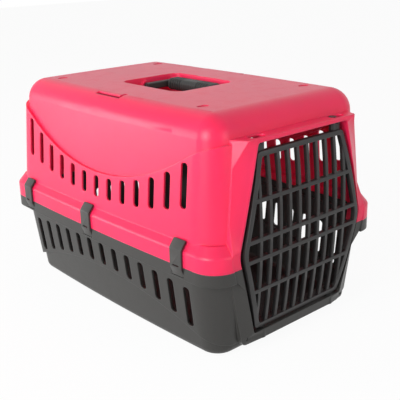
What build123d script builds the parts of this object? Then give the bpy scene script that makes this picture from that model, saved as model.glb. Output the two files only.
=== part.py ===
from build123d import *
from math import atan2, degrees, sqrt
import os

# A two-shell moulded pet carrier with a swinging grille door and a folding carry handle.
# Millimetres. X points right as seen from the door, Y points to the back, Z points up.
# The origin is in the middle of the footprint, on the surface that the carrier stands on.

# Whole carrier
HALF_WIDTH = 154.0          # rim at its corners, before the side bow
SIDE_BOW = 6.0              # how far the long sides bulge at mid length
BACK_BOW = 4.0              # how far the back bulges at mid width
RIM_FRONT = -238.0
RIM_BACK = 233.0
HEIGHT = 308.0
WALL = 3.0                  # moulded wall thickness
SPLIT_Z = 128.0             # where the upper shell sits on the lower shell

# Shell walls: plan at the parting line, and draft
UP_HALF = 149.0
UP_FRONT = -233.0
UP_BACK = 228.0
UP_DRAFT = 5.0
LOW_HALF = 146.5
LOW_FRONT = -231.0
LOW_BACK = 225.5
LOW_DRAFT = 6.8
CORNER = 46.0               # plan radius of the vertical corners
RIM_CORNER = 34.0
STEP = 4.5                  # how far the bands with vents stand proud
TOP_ROUND = 30.0            # rounding between walls and roof
FLOOR_ROUND = 11.0

# Rim
RIM_LOW_Z = 112.0           # lower edge of the grey skirt
RIM_SHOULDER_Z = 149.0      # outer corner of the bead
RIM_TOP_Z = 160.0           # where the sloping shelf meets the wall
LIP_HEIGHT = 9.0            # locating lip of the lower shell inside the bead
LIP_OUT = 2.2               # the lip stands this far outside the wall below it
LIP_THICK = 2.0
SHELF_DEPTH = 9.0
SHOULDER_BEVEL = 2.4

# Swoosh steps of the two vent bands, seen from the side
SWOOSH_LOW_Z = 207.0
SWOOSH_RADIUS = 330.0
SWOOSH_END_Y = 172.0        # where the arc hands over to the flatter end curve
LEDGE_Z = 280.0
ARCH_HIGH_Z = 66.0
ARCH_RADIUS = 520.0

# Vents
VENTS_PER_SIDE = 13
VENT_PITCH = 29.2
VENT_WIDTH = 11.5
VENT_ROUND = 4.5
VENT_MARGIN = 5.0
BACK_VENTS = 7

# Door opening and its raised surround, as half widths at three heights
OPENING = dict(bottom=(31.0, 84.0), middle=(143.0, 113.5), top=(275.0, 81.0))
SURROUND = dict(bottom=(13.0, 97.0), middle=(143.0, 126.0), top=(300.0, 104.0))
PANEL_TOP_Y = -235.5        # front face of the surround at its top, middle and bottom
PANEL_MID_Y = -237.5
PANEL_LOW_Y = -231.0
PANEL_BACK_Y = -200.0
JAMB_BACK_Y = -219.0        # inner edge of the return flange around the doorway
SILL_BACK_Y = -204.0        # the sill hump reaches this far into the cabin
SILL_HALF = 92.0
FOOT_HEIGHT = 2.0
FOOT_X = 84.0
FOOT_Y = 160.0

# Door
DOOR = dict(bottom=(35.0, 80.0), middle=(143.0, 108.5), top=(263.0, 78.0))
DOOR_FRAME = 6.0
DOOR_DEEP = 6.5
BAR_DEEP = 5.0
DOOR_TOP_Y = -231.5         # front face of the door at its top, middle and bottom
DOOR_MID_Y = -240.0
DOOR_LOW_Y = -229.0
BAR_COUNT = 8
BAR_PITCH = 17.4
BAR_WIDTH = 4.4
CROSS_BARS_Z = (206.0, 157.5, 132.5, 90.0)
CROSS_BAR = 5.0
HINGE_X = 66.0
HINGE_Y = -224.5
PIN_RADIUS = 4.5
PIN_FIT = 0.4
PIN_SHORT = 0.8             # air left over the pins of the side that swings open
KNUCKLE_LENGTH = 17.0
KNUCKLE_WIDTH = 9.0
SOCKET_DEEP = 9.0
WINDOW_LENGTH = 25.0
WINDOW_WIDTH = 13.0

# Carry handle and its pocket
TOP_MID_Y = 3.0             # middle of the roof features
POCKET_X = 106.0
POCKET_Y = 128.0
POCKET_DEEP = 28.0
POCKET_ROUND = 15.0
PIVOT_X = -8.0
PIVOT_Z = 297.0
PIVOT_RADIUS = 4.0
PIVOT_FIT = 0.05
PIVOT_REACH = 68.5          # half distance between the pin ends
BOSS_RADIUS = 7.4
BOSS_REACH = 4.0
ARM_REACH = 40.0
ARM_SPAN = 57.0             # half distance between the outer faces of the arms
ARM_WIDE = 9.0
ARM_THICK = 10.0
GRIP_LENGTH = 92.0
GRIP_WIDE = 25.0
GRIP_THICK = 17.0
GRIP_ROUND = 7.0
GRIP_GROOVES = 5            # grooves at each end of the grip
GROOVE_PITCH = 5.0
GROOVE_WIDE = 2.0
GROOVE_DEEP = 1.0

# Latch tongues that lock the shells together
LATCH_SIDE_Y = dict(rear=175.0, middle=14.0, front=-175.0)
LATCH_WIDTH = 20.0
LATCH_THICK = 2.6
LATCH_ROOT_Z = 116.0
LATCH_GAP = 0.5
LATCH_SLOT = 11.0

# Roof details
DIMPLE_X = 91.0
DIMPLE_Y = 157.0
BELT_X = 117.0
BELT_LENGTH = 54.0
BELT_WIDE = 6.0


def plan(half, front, back, corner, inset=0.0):
    """Bowed rectangle with rounded corners, moved inward by inset."""
    half, front, back, corner = half - inset, front + inset, back - inset, corner - inset
    mid = (front + back) / 2
    sides = [
        Line((-half, front), (half, front)),
        ThreePointArc((half, front), (half + SIDE_BOW, mid), (half, back)),
        ThreePointArc((half, back), (0, back + BACK_BOW), (-half, back)),
        ThreePointArc((-half, back), (-half - SIDE_BOW, mid), (-half, front)),
    ]
    face = make_face(Curve() + sides)
    return fillet(face.vertices(), corner)


def upper_taper(inset, top_z=HEIGHT):
    """Tapering block with the upper shell's walls moved inward by inset."""
    face = plan(UP_HALF, UP_FRONT, UP_BACK, CORNER, inset)
    return extrude(Pos(0, 0, SPLIT_Z) * face, top_z - SPLIT_Z, taper=UP_DRAFT)


def lower_taper(inset, bottom_z=FOOT_HEIGHT):
    """Tapering block with the lower shell's walls moved inward by inset."""
    face = plan(LOW_HALF, LOW_FRONT, LOW_BACK, CORNER, inset)
    return extrude(Pos(0, 0, SPLIT_Z) * face, -(SPLIT_Z - bottom_z), taper=LOW_DRAFT)


def swoosh_height(y):
    """Height of the upper step at y, on its main arc."""
    return SWOOSH_LOW_Z + SWOOSH_RADIUS - sqrt(SWOOSH_RADIUS ** 2 - y ** 2)


def swoosh_curve(drop=0.0):
    """Side view of the upper step: a deep arc that flattens towards both ends."""
    end_z = swoosh_height(SWOOSH_END_Y) - drop
    arc = ThreePointArc((-SWOOSH_END_Y, end_z), (0, SWOOSH_LOW_Z - drop), (SWOOSH_END_Y, end_z))
    front = TangentArc((-SWOOSH_END_Y, end_z), (-250, LEDGE_Z - drop), tangent=-(arc % 0))
    back = TangentArc((SWOOSH_END_Y, end_z), (250, LEDGE_Z - drop), tangent=arc % 1)
    front_reversed = ThreePointArc(front @ 1, front @ 0.5, front @ 0)
    return Curve() + [front_reversed, arc, back]


def arch_height(y):
    """Height of the lower step at y."""
    return ARCH_HIGH_Z - ARCH_RADIUS + sqrt(ARCH_RADIUS ** 2 - y ** 2)


def arch_curve(lift=0.0):
    """Side view of the lower step: one long arch."""
    end_z = arch_height(250) + lift
    return ThreePointArc((-250, end_z), (0, ARCH_HIGH_Z + lift), (250, end_z))


def below(curve, drop_z=-60):
    """Solid below a side-view curve."""
    start, end = curve @ 0, curve @ 1
    rest = Polyline((end.X, end.Y), (end.X, drop_z), (start.X, drop_z), (start.X, start.Y))
    return extrude(make_face(Plane.YZ * (Curve() + [curve, rest])), 400, both=True)


def hexagon(spec, grow, corner, y_from, y_to):
    """Prism along Y with the six-cornered outline of the doorway."""
    low_z, low_half = spec["bottom"]
    mid_z, mid_half = spec["middle"]
    top_z, top_half = spec["top"]
    outline = Polyline(
        (-low_half - grow, low_z - grow),
        (low_half + grow, low_z - grow),
        (mid_half + grow, mid_z),
        (top_half + grow, top_z + grow),
        (-top_half - grow, top_z + grow),
        (-mid_half - grow, mid_z),
        close=True,
    )
    face = make_face(outline)
    wide = face.vertices().filter_by(lambda v: abs(v.Y - mid_z) < 1)
    face = fillet(wide, 40)
    ends = face.vertices().filter_by(lambda v: abs(v.Y - mid_z) > 60)
    face = fillet(ends, corner)
    return Pos(0, y_from, 0) * extrude(Plane.XZ * face, -(y_to - y_from))


def rim_plan(inset):
    """Plan of the bead, moved inward by inset."""
    return plan(HALF_WIDTH, RIM_FRONT, RIM_BACK, RIM_CORNER, inset)


def bead(inset):
    """Upright face, bevelled shoulder and sloping shelf around the upper shell's foot."""
    bevel = SHOULDER_BEVEL - inset / 3
    height = RIM_TOP_Z - RIM_SHOULDER_Z - inset / 2
    slope = degrees(atan2(SHELF_DEPTH, RIM_TOP_Z - RIM_SHOULDER_Z))
    shelf_plan = plan(HALF_WIDTH, RIM_FRONT, RIM_BACK, RIM_CORNER, inset + bevel / 2)
    block = extrude(Pos(0, 0, SPLIT_Z) * rim_plan(inset), RIM_SHOULDER_Z - bevel - SPLIT_Z)
    block += extrude(Pos(0, 0, RIM_SHOULDER_Z - bevel) * rim_plan(inset), bevel, taper=degrees(atan2(1, 2)))
    block += extrude(Pos(0, 0, RIM_SHOULDER_Z) * shelf_plan, height, taper=slope)
    return block - hexagon(SURROUND, inset, 12, -260, -200)


def skirt(inset, low_z, high_z):
    """Upright band around the lower shell's top."""
    block = extrude(Pos(0, 0, low_z) * rim_plan(inset), high_z - low_z)
    return block - hexagon(SURROUND, inset, 12, -260, -200)


def panel(inset, low_z, high_z):
    """Raised surround of the doorway, from its gently bowed front to inside the cabin."""
    front = ThreePointArc(
        (PANEL_LOW_Y + inset, SURROUND["bottom"][0]),
        (PANEL_MID_Y + inset, SURROUND["middle"][0]),
        (PANEL_TOP_Y + inset, SURROUND["top"][0]),
    )
    back = Polyline(front @ 1, (PANEL_BACK_Y, (front @ 1).Y), (PANEL_BACK_Y, (front @ 0).Y), front @ 0)
    block = extrude(make_face(Plane.YZ * (Curve() + [front, back])), 140, both=True)
    slab = Pos(0, 0, (low_z + high_z) / 2) * Box(400, 600, high_z - low_z)
    return hexagon(SURROUND, -inset, 12, -260, PANEL_BACK_Y) & block & slab


def upper_body(inset):
    """Outer or inner skin of the upper shell as a closed solid."""
    crown = upper_taper(inset + STEP, HEIGHT - inset)
    crown = fillet(crown.faces().sort_by(Axis.Z)[-1].edges(), TOP_ROUND - inset)
    band = upper_taper(inset) & below(swoosh_curve(inset))
    return crown + band + panel(inset, SPLIT_Z, LEDGE_Z - inset) + bead(inset)


def lower_body(inset):
    """Outer or inner skin of the lower shell as a closed solid."""
    base = lower_taper(inset + STEP, FOOT_HEIGHT + inset)
    base = fillet(base.faces().sort_by(Axis.Z)[0].edges(), FLOOR_ROUND - inset)
    band = lower_taper(inset) - below(arch_curve(inset))
    return base + band + panel(inset, FOOT_HEIGHT, SPLIT_Z)


def vent_places():
    """Y of each side vent, from the front to the back."""
    half = (VENTS_PER_SIDE - 1) / 2
    return [(i - half) * VENT_PITCH for i in range(VENTS_PER_SIDE)]


def vent_cutter(y, low_z, high_z):
    """Rounded vertical slot through both long sides."""
    face = Plane.YZ * Pos(y, (low_z + high_z) / 2) * RectangleRounded(
        VENT_WIDTH, high_z - low_z, VENT_ROUND)
    return extrude(face, 400, both=True)


def upper_vents():
    """Side vents of the upper shell; their bottoms dip towards mid length."""
    cutters = []
    for y in vent_places():
        low_z = 173.0 + 24.0 * (y / 175.0) ** 2
        high_z = swoosh_height(abs(y)) - VENT_MARGIN
        cutters.append(vent_cutter(y, low_z, high_z))
    return cutters


def lower_vents():
    """Side vents of the lower shell; they follow the arch."""
    cutters = []
    for y in vent_places():
        low_z = arch_height(y) + VENT_MARGIN
        high_z = 104.5 - 9.0 * (y / 175.0) ** 2
        cutters.append(vent_cutter(y, low_z, high_z))
    return cutters


def back_vents(low_z, high_z):
    """Vertical slots through the back wall."""
    slot = extrude(Plane.XZ * RectangleRounded(VENT_WIDTH, high_z - low_z, VENT_ROUND), -90)
    middle = (BACK_VENTS - 1) / 2
    return [Pos((i - middle) * VENT_PITCH, 170, (low_z + high_z) / 2) * slot for i in range(BACK_VENTS)]


def jamb(z_from, z_to):
    """Return flange around the doorway, limited to one shell's heights."""
    ring = hexagon(OPENING, WALL, 7, RIM_FRONT, JAMB_BACK_Y)
    return ring & Pos(0, -200, (z_from + z_to) / 2) * Box(320, 200, z_to - z_from)


def pocket_face(grow):
    """Plan of the handle pocket."""
    return Pos(0, TOP_MID_Y) * RectangleRounded(
        POCKET_X + 2 * grow, POCKET_Y + 2 * grow, POCKET_ROUND + grow)


def pocket_solid(grow, depth, top_z):
    """Tapered tub with rounded floor edges."""
    tub = extrude(Pos(0, 0, top_z) * pocket_face(grow), -depth, taper=4)
    floor = tub.faces().sort_by(Axis.Z)[0]
    return fillet(floor.edges(), 5)


def window(side):
    """Long hole in the ledge over the door, for one door pin."""
    x = side * (HINGE_X + (WINDOW_LENGTH - WINDOW_WIDTH) / 2)
    return Pos(x, HINGE_Y, LEDGE_Z - 8) * extrude(SlotOverall(WINDOW_LENGTH, WINDOW_WIDTH), 16)


def along_y(radius, length, x, y, z):
    """Cylinder along Y."""
    return Pos(x, y, z) * Rot(90, 0, 0) * Cylinder(radius, length)


def pivot_boss(side):
    """Round boss on one end wall of the pocket that carries a handle pin."""
    inner = POCKET_Y / 2 - BOSS_REACH
    outer = POCKET_Y / 2 + BOSS_REACH + WALL
    return along_y(BOSS_RADIUS, outer - inner, PIVOT_X, TOP_MID_Y + side * (inner + outer) / 2, PIVOT_Z)


def pivot_hole(side):
    """Blind hole for a handle pin."""
    y = TOP_MID_Y + side * (PIVOT_REACH + LATCH_GAP - 8)
    return along_y(PIVOT_RADIUS + PIVOT_FIT, 16, PIVOT_X, y, PIVOT_Z)


def belt_slot(side):
    """Hooked slot on the roof shoulder that a seat belt is drawn into."""
    slot = Pos(side * BELT_X, TOP_MID_Y, HEIGHT - 14) * Box(BELT_WIDE, BELT_LENGTH, 36)
    hook_y = TOP_MID_Y - BELT_LENGTH / 2 + BELT_WIDE / 2
    hook = Pos(side * (BELT_X - 6), hook_y, HEIGHT - 14) * Box(12, BELT_WIDE, 36)
    return [slot, hook]


def dimples():
    """Four shallow round seats for the feet of a stacked carrier."""
    seat = extrude(SlotOverall(16, 10), -1.2)
    return [
        Pos(side * DIMPLE_X, TOP_MID_Y + end * DIMPLE_Y, HEIGHT) * seat
        for side in (-1, 1) for end in (-1, 1)
    ]


def upper_shell():
    """Roof half with vents, bead, ledge, handle pocket and belt guides."""
    shell = upper_body(0) - upper_body(WALL)
    hull = upper_taper(STEP)
    tub = pocket_solid(WALL, POCKET_DEEP + WALL, HEIGHT) + [pivot_boss(1), pivot_boss(-1)]
    shell += tub & hull
    shell += jamb(SPLIT_Z, LEDGE_Z - 1) & upper_body(1)
    shell -= pocket_solid(0, POCKET_DEEP, HEIGHT)
    shell += [pivot_boss(1), pivot_boss(-1)]
    shell -= [pivot_hole(1), pivot_hole(-1)]
    shell -= hexagon(OPENING, 0, 4, -260, -200)
    shell -= upper_vents() + back_vents(190, 246) + dimples()
    shell -= [window(1), window(-1)]
    for side in (-1, 1):
        shell -= belt_slot(side)
    return shell


def sill(inset):
    """Hump in the floor behind the front wall; the door stands over it."""
    depth = SILL_BACK_Y - RIM_FRONT
    top = OPENING["bottom"][0] - inset
    block = Box(2 * (SILL_HALF - inset), depth - inset, top + inset)
    return Pos(0, RIM_FRONT + (depth - inset) / 2, (top - inset) / 2) * block


def pin_socket(side, radius, low_z):
    """Round solid under the sill at one door pin."""
    high_z = OPENING["bottom"][0]
    return Pos(side * HINGE_X, HINGE_Y, (low_z + high_z) / 2) * Cylinder(radius, high_z - low_z)


def feet():
    """Four low pads under the floor."""
    pad = extrude(RectangleRounded(34, 44, 10), FOOT_HEIGHT + 1)
    return [Pos(side * FOOT_X, end * FOOT_Y, 0) * pad for side in (-1, 1) for end in (-1, 1)]


def lower_shell():
    """Tub with vents, rim flange, locating lip, feet and door sill."""
    outer = lower_body(0)
    shell = outer - lower_body(WALL)
    flange = skirt(0, RIM_LOW_Z, SPLIT_Z) - skirt(WALL, RIM_LOW_Z - 1, SPLIT_Z - WALL)
    shell += flange - lower_taper(WALL / 2)
    shell += locating_lip()
    shell += sill(0) & outer
    shell -= sill(WALL) & lower_body(WALL)
    low = OPENING["bottom"][0] - SOCKET_DEEP - WALL
    shell += [pin_socket(side, PIN_RADIUS + PIN_FIT + WALL, low) for side in (-1, 1)]
    shell += jamb(OPENING["bottom"][0] - WALL, SPLIT_Z) & lower_body(1)
    shell -= hexagon(OPENING, 0, 4, -260, -200)
    shell -= [pin_socket(side, PIN_RADIUS + PIN_FIT, low + WALL) for side in (-1, 1)]
    shell -= lower_vents() + back_vents(62, 100)
    shell -= [latch_notch(place) for place in latch_places().values()]
    return shell + feet()


def locating_lip():
    """Upstanding lip that keeps the upper shell from sliding sideways."""
    height = LIP_HEIGHT + WALL
    low = Pos(0, 0, SPLIT_Z - WALL)
    outer = low * plan(LOW_HALF, LOW_FRONT, LOW_BACK, CORNER, -LIP_OUT)
    inner = low * plan(LOW_HALF, LOW_FRONT, LOW_BACK, CORNER, LIP_THICK - LIP_OUT)
    ring = extrude(outer, height) - extrude(inner, height)
    return ring - hexagon(SURROUND, 8, 12, -260, -200)


def door_slab(set_back, deep):
    """Gently bowed slab that the door is cut from, seen from the side."""

    def face_line(shift):
        return [
            (DOOR_LOW_Y + shift, DOOR["bottom"][0] - 6),
            (DOOR_MID_Y + shift, DOOR["middle"][0]),
            (DOOR_TOP_Y + shift, DOOR["top"][0] + 6),
        ]

    front = ThreePointArc(*face_line(set_back))
    back = ThreePointArc(*face_line(set_back + deep))
    ends = [Line(front @ 0, back @ 0), Line(front @ 1, back @ 1)]
    return extrude(make_face(Plane.YZ * (Curve() + [front, back] + ends)), 140, both=True)


def upright(x, width):
    """Blank of one vertical bar."""
    return Pos(x, -230, 150) * Box(width, 60, 260)


def door():
    """Grille door with its knuckles and pins, moulded in one piece."""
    outline = hexagon(DOOR, 0, 7, -260, -200)
    frame = outline - hexagon(DOOR, -DOOR_FRAME, 5, -261, -199)
    crosses = [Pos(0, -230, z) * Box(240, 60, CROSS_BAR) for z in CROSS_BARS_Z]
    grille = (frame + [cross & outline for cross in crosses]) & door_slab(0, DOOR_DEEP)
    middle = (BAR_COUNT + 1) / 2
    bars = [upright((i - middle) * BAR_PITCH, BAR_WIDTH) for i in range(BAR_COUNT + 2)]
    bars = [bar & outline & door_slab(1, BAR_DEEP) for bar in bars]
    grille += bars
    for side in (-1, 1):
        grille += door_pins(side)
    return grille


def door_pins(side):
    """Knuckle, top pin and bottom pin of one side; only the hinge side enters its holes."""
    under_ledge = OPENING["top"][0] - PIN_SHORT
    low = DOOR["top"][0] - DOOR_FRAME
    x = side * (HINGE_X + (KNUCKLE_LENGTH - KNUCKLE_WIDTH) / 2)
    lobes = extrude(SlotOverall(KNUCKLE_LENGTH, KNUCKLE_WIDTH), under_ledge - low)
    knuckle = Pos(x, HINGE_Y, low) * lobes
    split = Pos(x, HINGE_Y, under_ledge) * Box(2.4, 20, 8)
    pin_top = LEDGE_Z + 0.5 if side > 0 else under_ledge
    pin_low = OPENING["bottom"][0] - SOCKET_DEEP + 1 if side > 0 else OPENING["bottom"][0] + PIN_SHORT
    top_pin = Pos(side * HINGE_X, HINGE_Y, (low + pin_top) / 2) * Cylinder(PIN_RADIUS, pin_top - low)
    high = DOOR["bottom"][0] + DOOR_FRAME
    foot_pin = Pos(side * HINGE_X, HINGE_Y, (pin_low + high) / 2) * Cylinder(PIN_RADIUS, high - pin_low)
    return (knuckle - split) + [top_pin, foot_pin]


def handle_bail():
    """Folding bail: two arms, a cross bar and the two pivot pins, lying flat."""
    reach = ARM_REACH + ARM_WIDE / 2
    outer = Pos(reach / 2 - 3, 0) * RectangleRounded(reach + 6, 2 * ARM_SPAN, 6)
    inner = Pos(reach / 2 - 3 - ARM_WIDE, 0) * RectangleRounded(reach + 6, 2 * (ARM_SPAN - ARM_WIDE), 2)
    flat = extrude(outer - inner, ARM_THICK / 2, both=True)
    flat = fillet(flat.edges().filter_by(Axis.X), 2)
    pins = [along_y(PIVOT_RADIUS, PIVOT_REACH - ARM_SPAN + 4, 0, side * (PIVOT_REACH + ARM_SPAN - 4) / 2, 0)
            for side in (-1, 1)]
    return Pos(PIVOT_X, TOP_MID_Y, PIVOT_Z) * (flat + pins)


def grip_bar(shrink, length):
    """Rounded bar along Y, used for the grip and its grooves."""
    width, height = GRIP_WIDE - 2 * shrink, GRIP_THICK - 2 * shrink
    face = RectangleRounded(width, height, GRIP_ROUND - shrink)
    return extrude(Plane.XZ * face, length / 2, both=True)


def handle_grip():
    """Soft sleeve on the cross bar, with grooves near both ends."""
    body = grip_bar(0, GRIP_LENGTH)
    body = fillet(body.faces().group_by(Axis.Y)[0].edges() + body.faces().group_by(Axis.Y)[-1].edges(), 3)
    ring = grip_bar(-2, GROOVE_WIDE) - grip_bar(GROOVE_DEEP, GROOVE_WIDE)
    first = GRIP_LENGTH / 2 - 8
    body -= [
        Pos(0, side * (first - i * GROOVE_PITCH), 0) * ring
        for side in (-1, 1) for i in range(GRIP_GROOVES)
    ]
    body -= Box(ARM_WIDE, GRIP_LENGTH + 2, ARM_THICK)
    return Pos(PIVOT_X + ARM_REACH, TOP_MID_Y, PIVOT_Z) * body


def latch_places():
    """Name and place of every latch: origin on the rim face, local X pointing outward."""
    places = {}
    half_length = (RIM_BACK - RIM_FRONT) / 2
    middle = (RIM_BACK + RIM_FRONT) / 2
    for name, y in LATCH_SIDE_Y.items():
        offset = (y - middle) / half_length
        x = HALF_WIDTH + SIDE_BOW * (1 - offset ** 2)
        turn = degrees(2 * SIDE_BOW * offset / half_length)
        places[f"latch_right_{name}"] = Pos(x, y) * Rot(0, 0, turn)
        places[f"latch_left_{name}"] = Pos(-x, y) * Rot(0, 0, 180 - turn)
    places["latch_back"] = Pos(0, RIM_BACK + BACK_BOW) * Rot(0, 0, 90)
    return places


def latch_blank():
    """Springy tongue: rises from the skirt, steps out and hooks over the bead."""
    thick = LATCH_THICK
    root = (-thick / 2, LATCH_ROOT_Z)
    inner = [
        (-thick, LATCH_ROOT_Z), (-thick, LATCH_ROOT_Z + 4), (LATCH_GAP, SPLIT_Z - 1),
        (LATCH_GAP, RIM_SHOULDER_Z + 0.2), (-7.0, RIM_TOP_Z - 1.2),
    ]
    outer = [
        (-5.2, RIM_TOP_Z + 1.0), (LATCH_GAP + 1.2, RIM_SHOULDER_Z + 3.6),
        (LATCH_GAP + thick, RIM_SHOULDER_Z + 1.4), (LATCH_GAP + thick, SPLIT_Z - 2), (0, LATCH_ROOT_Z + 3),
        (0, LATCH_ROOT_Z),
    ]
    side = make_face(Polyline(*inner, *outer, close=True)) + Pos(*root) * Circle(thick / 2)
    tongue = extrude(Plane.XZ * side, LATCH_WIDTH / 2, both=True)
    slot = Pos(0, 0, SPLIT_Z + 1) * Box(14, LATCH_SLOT, 2.2)
    return tongue - slot


def latch_notch(place):
    """Cut-out in the skirt that the tongue stands in."""
    low = LATCH_ROOT_Z - LATCH_THICK / 2 - LATCH_GAP
    height = SPLIT_Z + 0.5 - low
    return place * Pos(-1.2, 0, low + height / 2) * Box(4.4, LATCH_WIDTH + 2 * LATCH_GAP, height)


def main():
    """Write one file for each piece."""
    os.makedirs("parts", exist_ok=True)
    pieces = {
        "upper_shell": upper_shell(),
        "lower_shell": lower_shell(),
        "door": door(),
        "handle_bail": handle_bail(),
        "handle_grip": handle_grip(),
    }
    for name, place in latch_places().items():
        pieces[name] = place * latch_blank()
    for name, solid in pieces.items():
        export_step(solid, f"parts/{name}.step")


if __name__ == "__main__":
    main()
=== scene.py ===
# %% [markdown]
# # A moulded pet carrier
#
# The carrier is a tub and a lid of injection moulded polypropylene, held together by springy
# tongues, with a grille door at one end and a folding handle on the roof. Its true shapes come
# from the CAD part, which is loaded as a fixed frame. This lesson gives every part its finish,
# adds what is only worth making for the eye, and lights it as a plain studio picture.

# %% Load the frame
import math

import bmesh
import bpy
from mathutils import Matrix, Vector


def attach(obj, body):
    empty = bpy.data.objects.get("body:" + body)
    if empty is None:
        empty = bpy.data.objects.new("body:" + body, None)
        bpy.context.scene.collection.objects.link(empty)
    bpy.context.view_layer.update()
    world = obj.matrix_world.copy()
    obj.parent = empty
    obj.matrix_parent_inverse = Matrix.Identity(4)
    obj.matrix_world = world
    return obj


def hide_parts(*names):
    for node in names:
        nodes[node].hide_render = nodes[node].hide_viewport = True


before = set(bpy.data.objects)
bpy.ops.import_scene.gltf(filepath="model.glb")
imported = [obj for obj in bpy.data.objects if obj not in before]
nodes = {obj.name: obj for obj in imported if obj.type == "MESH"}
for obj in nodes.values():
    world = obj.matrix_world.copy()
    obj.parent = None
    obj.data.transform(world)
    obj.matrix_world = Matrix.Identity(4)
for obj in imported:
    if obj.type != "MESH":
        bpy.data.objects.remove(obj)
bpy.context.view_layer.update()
print("pieces in the frame:", ", ".join(sorted(nodes)))

# %% [markdown]
# ## Camera
#
# The picture is taken from the front left corner, a little above the roof. The camera is a
# long lens, so the sides hardly converge. Yaw, pitch and roll are turned into the camera's own
# axes by hand, which is easier to check than a rotation set by eye.

# %% Place the camera
MM = 0.001
SENSOR = 36.0
PHOTO_WIDTH = 400.0
FOCAL_PIXELS = 731.5
YAW = math.radians(-41.26)
PITCH = math.radians(-18.83)
ROLL = math.radians(-1.49)
EYE = Vector((-663.7, -797.1, 483.6)) * MM

level_reach = math.cos(PITCH)
forward = Vector((-math.sin(YAW) * level_reach, math.cos(YAW) * level_reach, math.sin(PITCH)))
level_right = forward.cross(Vector((0, 0, 1))).normalized()
level_up = level_right.cross(forward)
right = level_right * math.cos(ROLL) + level_up * math.sin(ROLL)
up = level_up * math.cos(ROLL) - level_right * math.sin(ROLL)

lens = bpy.data.cameras.new("studio_camera")
lens.sensor_width = SENSOR
lens.lens = FOCAL_PIXELS / PHOTO_WIDTH * SENSOR
lens.clip_end = 30
camera = bpy.data.objects.new("studio_camera", lens)
camera.matrix_world = Matrix.Translation(EYE) @ Matrix((right, up, -forward)).transposed().to_4x4()
bpy.context.collection.objects.link(camera)
bpy.context.scene.camera = camera
print("lens in millimetres:", round(lens.lens, 1))

# %% [markdown]
# ## Light
#
# The carrier is lit from a large soft box on the left. A second one, behind it on the same side,
# lays a broad sheen on the long wall, and a weak one fills the front. The world is plain grey
# light for surfaces, and white for the camera and for reflections, so that the background is
# white and no extra light falls on the carrier.

# %% Light the set
WHITE = (1, 1, 1, 1)
WORLD_STRENGTH = 0.36
AIM = Vector((0, 0, 0.15))
SOFT_BOXES = {
    "key_light": {"place": (-2.1, -0.4, 0.9), "size": 1.2, "watts": 47},
    "sheen_light": {"place": (-1.7, 1.7, 0.3), "size": 1.0, "watts": 24},
    "front_light": {"place": (0.5, -2.3, 0.7), "size": 1.2, "watts": 12},
}


def seen_directly(tree):
    """1 where a camera, glossy or transmission ray meets the surface, otherwise 0."""
    path = tree.nodes.new("ShaderNodeLightPath")
    value = path.outputs["Is Camera Ray"]
    for label in ("Is Glossy Ray", "Is Transmission Ray"):
        larger = tree.nodes.new("ShaderNodeMath")
        larger.operation = "MAXIMUM"
        tree.links.new(value, larger.inputs[0])
        tree.links.new(path.outputs[label], larger.inputs[1])
        value = larger.outputs[0]
    return value


def light_world(strength):
    """Even grey light, seen as white."""
    world = bpy.data.worlds.new("studio_world")
    bpy.context.scene.world = world
    world.use_nodes = True
    tree = world.node_tree
    tree.nodes.clear()
    fill = tree.nodes.new("ShaderNodeBackground")
    fill.inputs["Color"].default_value = WHITE
    fill.inputs["Strength"].default_value = strength
    backdrop = tree.nodes.new("ShaderNodeBackground")
    backdrop.inputs["Color"].default_value = WHITE
    mix = tree.nodes.new("ShaderNodeMixShader")
    out = tree.nodes.new("ShaderNodeOutputWorld")
    tree.links.new(seen_directly(tree), mix.inputs[0])
    tree.links.new(fill.outputs[0], mix.inputs[1])
    tree.links.new(backdrop.outputs[0], mix.inputs[2])
    tree.links.new(mix.outputs[0], out.inputs["Surface"])


def soft_box(name, place, size, watts):
    """Square area light aimed at the middle of the carrier."""
    data = bpy.data.lights.new(name, "AREA")
    data.size = size
    data.energy = watts
    lamp = bpy.data.objects.new(name, data)
    lamp.location = place
    lamp.rotation_euler = (AIM - Vector(place)).to_track_quat("-Z", "Y").to_euler()
    bpy.context.collection.objects.link(lamp)


light_world(WORLD_STRENGTH)
for name, lamp_values in SOFT_BOXES.items():
    soft_box(name, **lamp_values)
bpy.context.scene.view_settings.view_transform = "Standard"

# %% [markdown]
# ## Floor
#
# The carrier stands on a white sweep. A white floor could be made with more light, but that light
# would also fall on the carrier. Here the floor shines white only to the eye and in reflections,
# and a small share of the real paper is mixed in, which keeps a faint contact shadow.

# %% Lay the floor
FLOOR_HALF = 6.0
FLOOR_CORNERS = ((-1, -1), (1, -1), (1, 1), (-1, 1))
PAPER = (0.92, 0.92, 0.92, 1)
SHADOW_KEPT = 0.06


def floor_material():
    """White to the camera, apart from a share of the shadow."""
    material = bpy.data.materials.new("white_sweep")
    material.use_nodes = True
    tree = material.node_tree
    tree.nodes.clear()
    paper = tree.nodes.new("ShaderNodeBsdfDiffuse")
    paper.inputs["Color"].default_value = PAPER
    glow = tree.nodes.new("ShaderNodeEmission")
    glow.inputs["Color"].default_value = WHITE
    share = tree.nodes.new("ShaderNodeMath")
    share.operation = "MULTIPLY"
    share.inputs[1].default_value = 1 - SHADOW_KEPT
    mix = tree.nodes.new("ShaderNodeMixShader")
    out = tree.nodes.new("ShaderNodeOutputMaterial")
    tree.links.new(seen_directly(tree), share.inputs[0])
    tree.links.new(share.outputs[0], mix.inputs[0])
    tree.links.new(paper.outputs[0], mix.inputs[1])
    tree.links.new(glow.outputs[0], mix.inputs[2])
    tree.links.new(mix.outputs[0], out.inputs["Surface"])
    return material


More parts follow.
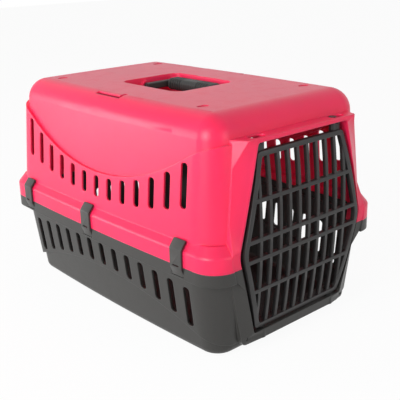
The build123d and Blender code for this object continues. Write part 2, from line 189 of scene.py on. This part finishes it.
sheet = bpy.data.meshes.new("studio_floor")
sheet.from_pydata([(x * FLOOR_HALF, y * FLOOR_HALF, 0) for x, y in FLOOR_CORNERS], [], [(0, 1, 2, 3)])
floor = bpy.data.objects.new("studio_floor", sheet)
floor.data.materials.append(floor_material())
bpy.context.collection.objects.link(floor)
print("floor laid at z = 0,", 2 * FLOOR_HALF, "metres wide")

# %% [markdown]
# ## Shared effects
#
# Moulded plastic looks real through small things that all its colours share: a fine spark-eroded
# grain in the mould, edges that catch the light because they are never sharp, a faint change of
# tone where the melt flowed, and scuffs that break up the gloss. Each one is a node group, built
# once and placed in every material with its own values. The groups give only values and normals.

# %% Helpers for node groups
def new_group(name, inputs, outputs):
    """Empty shader group with named sockets; returns the tree and its two end nodes."""
    tree = bpy.data.node_groups.new(name, "ShaderNodeTree")
    for label, value in inputs:
        socket = tree.interface.new_socket(label, in_out="INPUT", socket_type="NodeSocketFloat")
        socket.default_value = value
    for label, kind in outputs:
        tree.interface.new_socket(label, in_out="OUTPUT", socket_type=kind)
    return tree, tree.nodes.new("NodeGroupInput"), tree.nodes.new("NodeGroupOutput")


def math_node(tree, operation, first, second):
    """Math node on sockets or plain numbers; returns its output."""
    node = tree.nodes.new("ShaderNodeMath")
    node.operation = operation
    for socket, value in zip(node.inputs, (first, second)):
        if isinstance(value, (int, float)):
            socket.default_value = value
        else:
            tree.links.new(value, socket)
    return node.outputs[0]


def noise_node(tree, scale, detail, stretch=(1, 1, 1)):
    """Noise in object space, in cycles per metre; returns its value."""
    place = tree.nodes.new("ShaderNodeTexCoord")
    mapping = tree.nodes.new("ShaderNodeMapping")
    mapping.inputs["Scale"].default_value = stretch
    noise = tree.nodes.new("ShaderNodeTexNoise")
    noise.inputs["Detail"].default_value = detail
    tree.links.new(place.outputs["Object"], mapping.inputs["Vector"])
    tree.links.new(mapping.outputs[0], noise.inputs["Vector"])
    if isinstance(scale, (int, float)):
        noise.inputs["Scale"].default_value = scale
    else:
        tree.links.new(scale, noise.inputs["Scale"])
    return noise.outputs["Fac"]


def ramp_node(tree, value, low, high):
    """Smooth step from 0 at low to 1 at high."""
    node = tree.nodes.new("ShaderNodeMapRange")
    node.interpolation_type = "SMOOTHSTEP"
    node.inputs["From Min"].default_value = low
    node.inputs["From Max"].default_value = high
    tree.links.new(value, node.inputs["Value"])
    return node.outputs["Result"]


print("node helpers ready")

# %% [markdown]
# ### Mould grain
#
# The satin look comes from a texture etched into the steel mould. It could be an image, but two
# layers of noise in object space need no unwrapping and keep their true size, a few tenths of a
# millimetre, on every part.

# %% Mould grain
COARSE_SCALE = 0.22
COARSE_SHARE = 0.6


def build_mould_grain():
    """Height of the etched texture: fine noise, and a share of a coarser one."""
    tree, given, out = new_group("mould_grain", [("Scale", 1500.0)], [("Height", "NodeSocketFloat")])
    fine = noise_node(tree, given.outputs["Scale"], detail=2)
    coarse = noise_node(tree, math_node(tree, "MULTIPLY", given.outputs["Scale"], COARSE_SCALE), detail=1)
    total = math_node(tree, "ADD", fine, math_node(tree, "MULTIPLY", coarse, COARSE_SHARE))
    tree.links.new(total, out.inputs["Height"])
    return tree


MOULD_GRAIN = build_mould_grain()
print("built", MOULD_GRAIN.name)

# %% [markdown]
# ### Soft edges
#
# A moulding has no sharp edge, and the thin bright line along each edge tells the eye so. The
# Bevel node rounds the shading normal within a set radius, without more faces. How far it turns
# the normal is also a good mask for edges, which are painted lighter: partly wear from handling,
# partly a painted highlight.

# %% Soft edges, and edges painted lighter for wear and highlight
BEVEL_SAMPLES = 6
LEAST_EDGE_WEAR_AND_HIGHLIGHT = 0.4


def build_soft_edges():
    """Rounded normal, and a mask that is 1 on edges, where wear and a painted highlight go."""
    outputs = [("Normal", "NodeSocketVector"), ("Edge", "NodeSocketFloat")]
    tree, given, out = new_group("soft_edges", [("Radius", 0.0008)], outputs)
    bevel = tree.nodes.new("ShaderNodeBevel")
    bevel.samples = BEVEL_SAMPLES
    flat = tree.nodes.new("ShaderNodeNewGeometry")
    match = tree.nodes.new("ShaderNodeVectorMath")
    match.operation = "DOT_PRODUCT"
    tree.links.new(given.outputs["Radius"], bevel.inputs["Radius"])
    tree.links.new(bevel.outputs["Normal"], match.inputs[0])
    tree.links.new(flat.outputs["Normal"], match.inputs[1])
    turned = math_node(tree, "SUBTRACT", 1.0, match.outputs["Value"])
    # The lighter edges stand partly for wear and partly for a painted highlight; noise breaks them up.
    wear_and_highlight = math_node(tree, "ADD", noise_node(tree, scale=120, detail=3), LEAST_EDGE_WEAR_AND_HIGHLIGHT)
    broken = math_node(tree, "MULTIPLY", turned, wear_and_highlight)
    tree.links.new(bevel.outputs["Normal"], out.inputs["Normal"])
    tree.links.new(ramp_node(tree, broken, low=0.02, high=0.3), out.inputs["Edge"])
    return tree


SOFT_EDGES = build_soft_edges()
print("built", SOFT_EDGES.name)

# %% [markdown]
# ### Melt flow and scuffs
#
# Large slow noise, stretched along the mould's length, gives the faint change of tone that every
# big moulding has. Scuffs are the same idea at a smaller scale: they only change how glossy the
# plastic is, which shows in the highlights and nowhere else.

# %% Melt flow and scuffs
FLOW_STRETCH = (1, 0.45, 0.8)
LINE_STRETCH = (1, 14, 3)
LINE_SHARE = 0.6


def build_melt_flow():
    """Slow change of tone over a large moulding, from 0 to 1."""
    tree, given, out = new_group("melt_flow", [("Scale", 9.0)], [("Tone", "NodeSocketFloat")])
    slow = noise_node(tree, given.outputs["Scale"], detail=2, stretch=FLOW_STRETCH)
    tree.links.new(ramp_node(tree, slow, low=0.3, high=0.7), out.inputs["Tone"])
    return tree


def build_scuffs():
    """Patches and fine lines that handling leaves in the gloss, from 0 to 1."""
    tree, given, out = new_group("handling_scuffs", [("Scale", 60.0)], [("Rough", "NodeSocketFloat")])
    patches = ramp_node(tree, noise_node(tree, given.outputs["Scale"], detail=4), low=0.45, high=0.75)
    lines = ramp_node(tree, noise_node(tree, scale=40, detail=3, stretch=LINE_STRETCH), low=0.62, high=0.7)
    both = math_node(tree, "MAXIMUM", patches, math_node(tree, "MULTIPLY", lines, LINE_SHARE))
    tree.links.new(both, out.inputs["Rough"])
    return tree


MELT_FLOW = build_melt_flow()
SCUFFS = build_scuffs()
print("built", MELT_FLOW.name, "and", SCUFFS.name)

# %% [markdown]
# ### Grip pattern
#
# The sleeve on the handle is softer and has a fine diamond pattern so that it doesn't slip. Two
# crossed waves make the diamonds. As a bump they cost nothing, and the larger grooves near the
# ends are real ones in the CAD part.

# %% Grip pattern
RIDGE_SLANTS = (math.radians(45), math.radians(-45))


def build_grip_pattern():
    """Height of crossed ridges, from 0 to 1."""
    tree, given, out = new_group("grip_pattern", [("Scale", 90.0)], [("Height", "NodeSocketFloat")])
    place = tree.nodes.new("ShaderNodeTexCoord")
    ridges = []
    for slant in RIDGE_SLANTS:
        mapping = tree.nodes.new("ShaderNodeMapping")
        mapping.inputs["Rotation"].default_value = (0, 0, slant)
        wave = tree.nodes.new("ShaderNodeTexWave")
        tree.links.new(place.outputs["Object"], mapping.inputs["Vector"])
        tree.links.new(mapping.outputs[0], wave.inputs["Vector"])
        tree.links.new(given.outputs["Scale"], wave.inputs["Scale"])
        ridges.append(wave.outputs["Fac"])
    tree.links.new(math_node(tree, "MULTIPLY", *ridges), out.inputs["Height"])
    return tree


GRIP_PATTERN = build_grip_pattern()
print("built", GRIP_PATTERN.name)

# %% [markdown]
# ## Plastics
#
# The carrier has one pink and four near-blacks: base, door, tongues, and the softer sleeve on the
# handle. They share one recipe with different numbers: the colour, how rough it is, how deep the
# grain is, and how much lighter an edge is painted, as wear and as a painted highlight. Only
# changing values reach the shader through nodes. What is the same all over a part is set on the
# shader's own socket.

# %% Place and mix
# The Mix node has a row of sockets for each kind of value. These are the colour ones.
COLOUR_A, COLOUR_B, COLOUR_RESULT = 6, 7, 2


def placed(tree, group, **values):
    """Node that uses a group, with its inputs set."""
    node = tree.nodes.new("ShaderNodeGroup")
    node.node_tree = group
    for label, value in values.items():
        node.inputs[label].default_value = value
    return node


def blend_colour(tree, factor, first, second):
    """Colour mix of two plain colours or sockets."""
    mix = tree.nodes.new("ShaderNodeMix")
    mix.data_type = "RGBA"
    tree.links.new(factor, mix.inputs["Factor"])
    for index, value in ((COLOUR_A, first), (COLOUR_B, second)):
        if isinstance(value, tuple):
            mix.inputs[index].default_value = value
        else:
            tree.links.new(value, mix.inputs[index])
    return mix.outputs[COLOUR_RESULT]


def toned(colour, factor=1):
    """Colour made lighter or darker, with its alpha."""
    return tuple(min(channel * factor, 1.0) for channel in colour) + (1,)


print("placing and mixing ready")

# %% [markdown]
# ### The recipe
#
# The grain goes on as a bump on top of the rounded normal, so a soft edge keeps its texture. The
# pink gets one thing more. It is not as dense as the greys: light enters it and comes out a
# little way off, redder than it went in. That is what subsurface scattering is for.

# %% The plastic recipe
POLYMER_IOR = 1.49
TONE_CHANGE = 0.04
SCUFF_CHANGE = 0.04
EDGE_WEAR_AND_HIGHLIGHT_SHARE = 0.5
BUMP_STRENGTH = 0.35


def plastic(name, colour, rough, grain_depth, edge_radius, edge_wear_and_highlight_colour, gloss=0.3, relief=MOULD_GRAIN):
    """Satin plastic with soft edges, painted lighter as wear and as a highlight."""
    material = bpy.data.materials.new(name)
    material.use_nodes = True
    tree = material.node_tree
    surface = tree.nodes["Principled BSDF"]
    surface.inputs["IOR"].default_value = POLYMER_IOR
    surface.inputs["Specular IOR Level"].default_value = gloss
    edges = placed(tree, SOFT_EDGES, Radius=edge_radius)
    tone = placed(tree, MELT_FLOW).outputs["Tone"]
    body = blend_colour(tree, tone, toned(colour, 1 - TONE_CHANGE), toned(colour, 1 + TONE_CHANGE))
    # Edges get a lighter colour: partly wear, partly a painted highlight.
    edge_wear_and_highlight = math_node(tree, "MULTIPLY", edges.outputs["Edge"], EDGE_WEAR_AND_HIGHLIGHT_SHARE)
    tree.links.new(blend_colour(tree, edge_wear_and_highlight, body, toned(edge_wear_and_highlight_colour)), surface.inputs["Base Color"])
    scuffed = math_node(tree, "MULTIPLY", placed(tree, SCUFFS).outputs["Rough"], SCUFF_CHANGE)
    tree.links.new(math_node(tree, "ADD", scuffed, rough), surface.inputs["Roughness"])
    bump = tree.nodes.new("ShaderNodeBump")
    bump.inputs["Strength"].default_value = BUMP_STRENGTH
    bump.inputs["Distance"].default_value = grain_depth
    tree.links.new(placed(tree, relief).outputs["Height"], bump.inputs["Height"])
    tree.links.new(edges.outputs["Normal"], bump.inputs["Normal"])
    tree.links.new(bump.outputs["Normal"], surface.inputs["Normal"])
    return material


def let_light_in(material, share, reach, scale):
    """Light enters the plastic and leaves it a little way off."""
    surface = material.node_tree.nodes["Principled BSDF"]
    surface.inputs["Subsurface Weight"].default_value = share
    surface.inputs["Subsurface Radius"].default_value = reach
    surface.inputs["Subsurface Scale"].default_value = scale


# Each edge colour is lighter than its body colour: wear and a painted highlight.
PINK = plastic(
    "raspberry_shell", colour=(0.88, 0.02, 0.09), rough=0.34, gloss=0.33,
    grain_depth=0.00014, edge_radius=0.002, edge_wear_and_highlight_colour=(0.9, 0.09, 0.17),
)
BASE = plastic(
    "graphite_base", colour=(0.035, 0.034, 0.032), rough=0.4,
    grain_depth=0.00016, edge_radius=0.0016, edge_wear_and_highlight_colour=(0.11, 0.11, 0.105),
)
DOOR = plastic(
    "graphite_door", colour=(0.026, 0.025, 0.025), rough=0.34,
    grain_depth=0.0001, edge_radius=0.001, edge_wear_and_highlight_colour=(0.08, 0.078, 0.078),
)
TONGUE = plastic(
    "graphite_tongue", colour=(0.045, 0.044, 0.042), rough=0.36,
    grain_depth=0.00012, edge_radius=0.0008, edge_wear_and_highlight_colour=(0.12, 0.12, 0.115),
)
SLEEVE = plastic(
    "soft_black_sleeve", colour=(0.03, 0.031, 0.03), rough=0.5, relief=GRIP_PATTERN,
    grain_depth=0.0012, edge_radius=0.0007, edge_wear_and_highlight_colour=(0.08, 0.08, 0.08),
)
let_light_in(PINK, share=0.35, reach=(1.0, 0.12, 0.2), scale=0.014)
print("plastics:", [material.name for material in (PINK, BASE, DOOR, TONGUE, SLEEVE)])

# %% [markdown]
# ## Dress the CAD parts
#
# Every CAD part gets its plastic first. The bail and its sleeve are right as they are and stay.
# The other parts are replaced further down by copies of themselves with one thing added, and a
# copy is dressed in the same plastic as the part that it stands for.

# %% Give every part its plastic
latches = sorted(name for name in nodes if name.startswith("latch_"))
finishes = {"upper_shell": PINK, "lower_shell": BASE, "door": DOOR}
finishes.update({"handle_bail": TONGUE, "handle_grip": SLEEVE})
finishes.update((name, TONGUE) for name in latches)


def dress(mesh, material):
    """The mesh shows this material and no other."""
    mesh.materials.clear()
    mesh.materials.append(material)


for name, material in finishes.items():
    dress(nodes[name].data, material)
print("dressed", len(finishes), "parts")

# %% [markdown]
# ### Stand-ins
#
# A CAD part is never edited. A new piece is made from a copy of its mesh, wears the part's plastic,
# rides on the same body, and the part itself is hidden.

# %% Make a stand-in
def stand_in(mesh, piece_name, node_name, body):
    """Piece that stands for a CAD part and moves with its body."""
    mesh.name = piece_name
    dress(mesh, finishes[node_name])
    piece = bpy.data.objects.new(piece_name, mesh)
    bpy.context.collection.objects.link(piece)
    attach(piece, body)
    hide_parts(node_name)
    return piece


# %% [markdown]
# ## Lean the doorway's surround into the walls
#
# On the real carrier the raised surround of the doorway grows out of the front wall in a slope.
# The CAD surround is a plain slab with upright flanks. On a copy of each shell the outer edge of
# the surround is moved back until only a small step is left. Apart from that edge, only the two
# front corners of the ledge move, so the doorway itself stays where the CAD has it.

# %% Measure the surround
SURROUND_HEIGHTS = (13.0, 143.0, 300.0)
SURROUND_FACES = (-231.0, -237.5, -235.5)
DOORWAY_MIDDLE_Z = 143.0
SEAM_Z = 128.0
LEDGE_Z = 280.0
LEDGE_END_X = 95.0
WALL = 3.0
FACE_TOLERANCE = 0.4
HEIGHT_TOLERANCE = 0.5
LEAST_GAP = 1.0
FLANK_NORMAL_Y = 0.35


def surround_face(z):
    """Y of the surround's front face at height z, in millimetres, as a parabola."""
    low, mid, high = SURROUND_HEIGHTS
    at_low, at_mid, at_high = SURROUND_FACES
    return (
        at_low * (z - mid) * (z - high) / ((low - mid) * (low - high))
        + at_mid * (z - low) * (z - high) / ((mid - low) * (mid - high))
        + at_high * (z - low) * (z - mid) / ((high - low) * (high - mid))
    )


def on_front_face(point, depth):
    """True for a point that lies on the front face, or the given depth behind it."""
    return abs(point[1] - surround_face(point[2]) - depth) < FACE_TOLERANCE


def on_outer_edge(point, normal, depth):
    """True for a point on the surround's outer edge, judged by the flank that meets it there."""
    x, y, z = point
    in_ledge = z > LEDGE_Z - depth - LEAST_GAP and (depth == 0 or abs(x) < LEDGE_END_X)
    at_seam = abs(z - SEAM_Z) < HEIGHT_TOLERANCE
    if not on_front_face(point, depth) or at_seam or in_ledge:
        return False
    away_from_door = normal.x * x + normal.z * (z - DOORWAY_MIDDLE_Z)
    return abs(normal.y) < FLANK_NORMAL_Y and (away_from_door > 0) == (depth == 0)


print("surround face at mid height:", round(surround_face(DOORWAY_MIDDLE_Z), 1), "mm")

# %% [markdown]
# ### Where the edge goes
#
# Each point of the outer edge goes back almost to the wall behind it. Under the sill there is
# little room for a slope, so more of the step is kept there. The inside of the shell follows, a
# wall's thickness behind, or it would show through the slope.

# %% Find the new places
STEP_KEPT = 2.0
FLANK_KEPT = 0.12
SILL_KEPT = 0.55
SILL_TOP_Z = 31.0
SLOPE_FULL_Z = 62.0
LEDGE_END_KEPT = 0.9


def spot(vertex):
    """Place of a vertex in millimetres, rounded, the same for all vertices at one point."""
    return tuple(round(value / MM, 2) for value in vertex.co)


def wall_behind(point, others, depth):
    """Y of the wall nearest to a point on the surround's edge, or None where it is flush."""
    behind = [
        other for other in others if other[1] > point[1] + LEAST_GAP and not on_front_face(other, depth)
    ]
    if not behind:
        return None
    return min(behind, key=lambda other: math.dist(other[::2], point[::2]))[1]


def flank_kept(z):
    """Share of the flank that stays: more under the sill, where the slope would be too flat."""
    blend = min(max((SLOPE_FULL_Z - z) / (SLOPE_FULL_Z - SILL_TOP_Z), 0), 1)
    return FLANK_KEPT + (SILL_KEPT - FLANK_KEPT) * blend


def ledge_end_moves(mesh):
    """New X and Y for the two front corners of the ledge, which the real carrier has cut off."""
    moves = {}
    for point in {spot(vertex) for vertex in mesh.vertices}:
        at_ledge = abs(point[2] - LEDGE_Z) < HEIGHT_TOLERANCE and abs(point[0]) > LEDGE_END_X
        if at_ledge and on_front_face(point, 0):
            moves[point] = (point[0] * LEDGE_END_KEPT, point[1])
    return moves


def edge_moves(mesh, depth):
    """New X and Y for each point of the surround's outer edge, on its front or its back."""
    neighbours = {}
    for polygon in mesh.polygons:
        points = [spot(mesh.vertices[index]) for index in polygon.vertices]
        for point in points:
            if on_outer_edge(point, polygon.normal, depth):
                neighbours.setdefault(point, []).extend(points)
    moves = {}
    for point, others in neighbours.items():
        wall = wall_behind(point, others, depth)
        if wall is not None:
            step = max(STEP_KEPT, flank_kept(point[2]) * (wall - point[1]))
            moves[point] = (point[0], wall - step)
    return moves


print("kept of the flank at the sill and above:", flank_kept(SILL_TOP_Z), flank_kept(SLOPE_FULL_Z))

# %% [markdown]
# ### Shading of the slopes
#
# The CAD mesh brings its own shading normals, which are right everywhere but on the faces that
# have been turned. Those get new ones, averaged over the changed faces that meet at a point and
# face the same way, so that a slope is smooth and its border stays crisp.

# %% Lean both shells
def facing(normal):
    """The axis that a normal is nearest to: 0 for X, 1 for Y, 2 for Z."""
    sizes = [abs(value) for value in normal]
    return sizes.index(max(sizes))


def move_points(mesh, moves):
    """Put the points in their new places; returns the indices of their vertices."""
    moved = {vertex.index: moves[spot(vertex)] for vertex in mesh.vertices if spot(vertex) in moves}
    for index, (x, y) in moved.items():
        mesh.vertices[index].co.xy = (x * MM, y * MM)
    mesh.update()
    return set(moved)


def shade_slopes(mesh, moved, normals):
    """New shading normals on the faces with moved vertices, and the given ones elsewhere."""
    changed = [polygon for polygon in mesh.polygons if moved.intersection(polygon.vertices)]
    slopes = {}
    for polygon in changed:
        for index in polygon.vertices:
            key = (spot(mesh.vertices[index]), facing(polygon.normal))
            slopes[key] = slopes.get(key, Vector()) + polygon.normal * polygon.area
    for polygon in changed:
        for corner, index in zip(polygon.loop_indices, polygon.vertices):
            key = (spot(mesh.vertices[index]), facing(polygon.normal))
            normals[corner] = slopes[key].normalized()
    mesh.normals_split_custom_set(normals)


def lean_surround(node_name, piece_name):
    """Copy of a shell with a sloping surround."""
    mesh = nodes[node_name].data.copy()
    moves = {**edge_moves(mesh, 0.0), **edge_moves(mesh, WALL), **ledge_end_moves(mesh)}
    normals = [corner.vector.copy() for corner in mesh.corner_normals]
    shade_slopes(mesh, move_points(mesh, moves), normals)
    stand_in(mesh, piece_name, node_name, "shell")
    print(piece_name, "has", len(moves), "points of the surround moved")


lean_surround("upper_shell", "lid")
lean_surround("lower_shell", "tub")

# %% [markdown]
# ## Round the edges that are close to the eye
#
# The door's bars and the latch tongues are narrow, so their edges make up most of what is seen.
# A shading trick is too little there. Copies of these parts are cleaned of the triangles that
# CAD leaves in flat faces, and a Bevel modifier then gives every edge a real round of its own.
# The tongues are cleaned less, because their thin hooks lose their shape at the door's angle.

# %% Round the door and the tongues
DOOR_EDGES = {"width": 0.0009, "flat_angle": math.radians(0.3)}
TONGUE_EDGES = {"width": 0.0011, "flat_angle": math.radians(0.02)}
EDGE_ANGLE = math.radians(28)
WELD = 0.00001


def rounded(node_name, piece_name, slot, width, flat_angle):
    """Copy of a part with rounded edges."""
    shape = bmesh.new()
    shape.from_mesh(nodes[node_name].data)
    bmesh.ops.remove_doubles(shape, verts=shape.verts, dist=WELD)
    bmesh.ops.dissolve_limit(shape, angle_limit=flat_angle, verts=shape.verts, edges=shape.edges)
    mesh = bpy.data.meshes.new(piece_name)
    shape.to_mesh(mesh)
    shape.free()
    mesh.shade_smooth()
    piece = stand_in(mesh, piece_name, node_name, node_name)
    bevel = piece.modifiers.new("rounded_edges", "BEVEL")
    bevel.width = width
    bevel.segments = 3
    bevel.limit_method = "ANGLE"
    bevel.angle_limit = EDGE_ANGLE
    bevel.harden_normals = True
    print(piece_name, "has", len(mesh.polygons), "faces before rounding")


rounded("door", "grille", "door_plastic", **DOOR_EDGES)
for name in latches:
    rounded(name, name.replace("latch", "tongue"), "latch_plastic", **TONGUE_EDGES)
